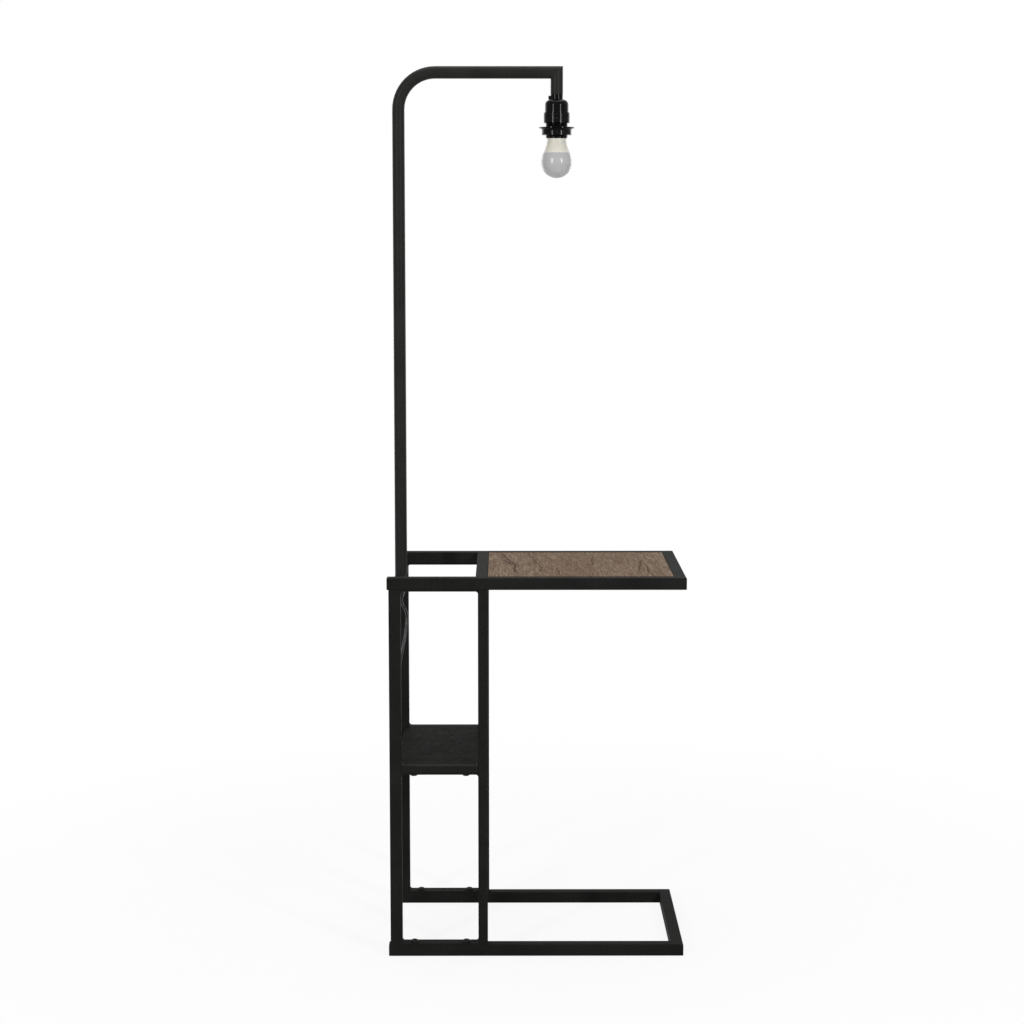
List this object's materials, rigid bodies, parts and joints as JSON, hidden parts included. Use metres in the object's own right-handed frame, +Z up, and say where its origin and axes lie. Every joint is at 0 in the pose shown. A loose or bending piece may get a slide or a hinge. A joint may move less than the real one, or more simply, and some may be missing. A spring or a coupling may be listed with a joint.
{
  "type": "floor lamp with table",
  "caption": "C-shaped steel side table with a small shelf and a wooden top, carrying a bent pole with a hanging bare bulb.",
  "frame": {"origin": "on the floor under the middle of the base", "axes": "+Z up, +X from the legs to the open end of the table, +Y to the back"},
  "size_m": [0.5, 0.3, 1.5],
  "materials": {
    "powder_coat": "satin black powder coat",
    "oak_board": "grey-brown oak decor, matt",
    "shelf_board": "black laminate, matt",
    "cap_plastic": "moulded black plastic",
    "black_bolt": "black oxide steel",
    "zinc_steel": "zinc plated steel",
    "bakelite": "glossy black phenolic moulding",
    "ceramic": "white glazed ceramic",
    "brass": "plain brass",
    "nickel_cap": "nickel plated screw base",
    "bulb_white": "cream moulded housing",
    "bulb_frost": "frosted diffuser, unlit",
    "lamp_board": "white board with small lamps",
    "black_pvc": "black PVC lead, moulded fittings",
    "switch_plastic": "moulded black plastic",
    "blade_metal": "nickel plated blades"
  },
  "bodies": {
    "frame": {"base_front_rail": "powder_coat", "base_rear_rail": "powder_coat", "base_end_rail": "powder_coat", "base_bars": "powder_coat", "lower_front_left_leg": "powder_coat", "lower_front_right_leg": "powder_coat", "lower_rear_left_leg": "powder_coat", "lower_rear_right_leg": "powder_coat", "upper_front_left_leg": "powder_coat", "upper_front_right_leg": "powder_coat", "upper_rear_left_leg": "powder_coat", "upper_rear_right_leg": "powder_coat", "lower_top_bars": "powder_coat", "upper_top_bars": "powder_coat", "shelf_front_rail": "powder_coat", "shelf_rear_rail": "powder_coat", "shelf_side_bars": "powder_coat", "shelf_support_bars": "powder_coat", "table_front_rail": "powder_coat", "table_rear_rail": "powder_coat", "table_end_rail": "powder_coat", "table_cross_rail": "powder_coat", "table_support_bars": "powder_coat", "pole_cross_rail": "powder_coat", "pole_tube": "powder_coat", "lamp_stub": "powder_coat", "table_panel": "oak_board", "shelf_panel": "shelf_board", "end_caps": "cap_plastic", "frame_bolts": "black_bolt", "table_bolts": "black_bolt", "holder_set_screw": "black_bolt", "weld_nuts": "zinc_steel", "panel_screws": "zinc_steel", "tube_inserts": "zinc_steel", "threaded_nipples": "zinc_steel", "pole_lock_nut": "zinc_steel", "holder_cap": "bakelite", "holder_skirt": "bakelite", "holder_core": "ceramic", "holder_contact": "brass", "screw_shell": "brass", "inner_lead": "black_pvc", "cord_drop": "black_pvc", "cord_hank": "black_pvc", "cord_tail": "black_pvc", "plug_lead": "black_pvc", "cord_relief": "black_pvc", "plug_body": "black_pvc", "cord_tie": "switch_plastic", "switch_base": "switch_plastic", "switch_cover": "switch_plastic", "plug_blades": "blade_metal"},
    "shade_ring": {"shade_ring": "bakelite"},
    "bulb": {"bulb_cap": "nickel_cap", "bulb_contact": "brass", "bulb_housing": "bulb_white", "bulb_diffuser": "bulb_frost", "led_board": "lamp_board"},
    "switch_rocker": {"switch_rocker": "switch_plastic"}
  },
  "joints": [
    {"name": "bulb_unscrew", "type": "slide", "parent": "frame", "child": "bulb", "axis": [0, 0, -1], "range_m": [0, 0.03]},
    {"name": "shade_ring_travel", "type": "slide", "parent": "frame", "child": "shade_ring", "axis": [0, 0, 1], "range_m": [-0.005, 0.0065]},
    {"name": "switch_rock", "type": "hinge", "parent": "frame", "child": "switch_rocker", "pos_m": [0.025, -0.118, 0.00805], "axis": [0, 1, 0], "range_deg": [0, 16]}
  ]
}
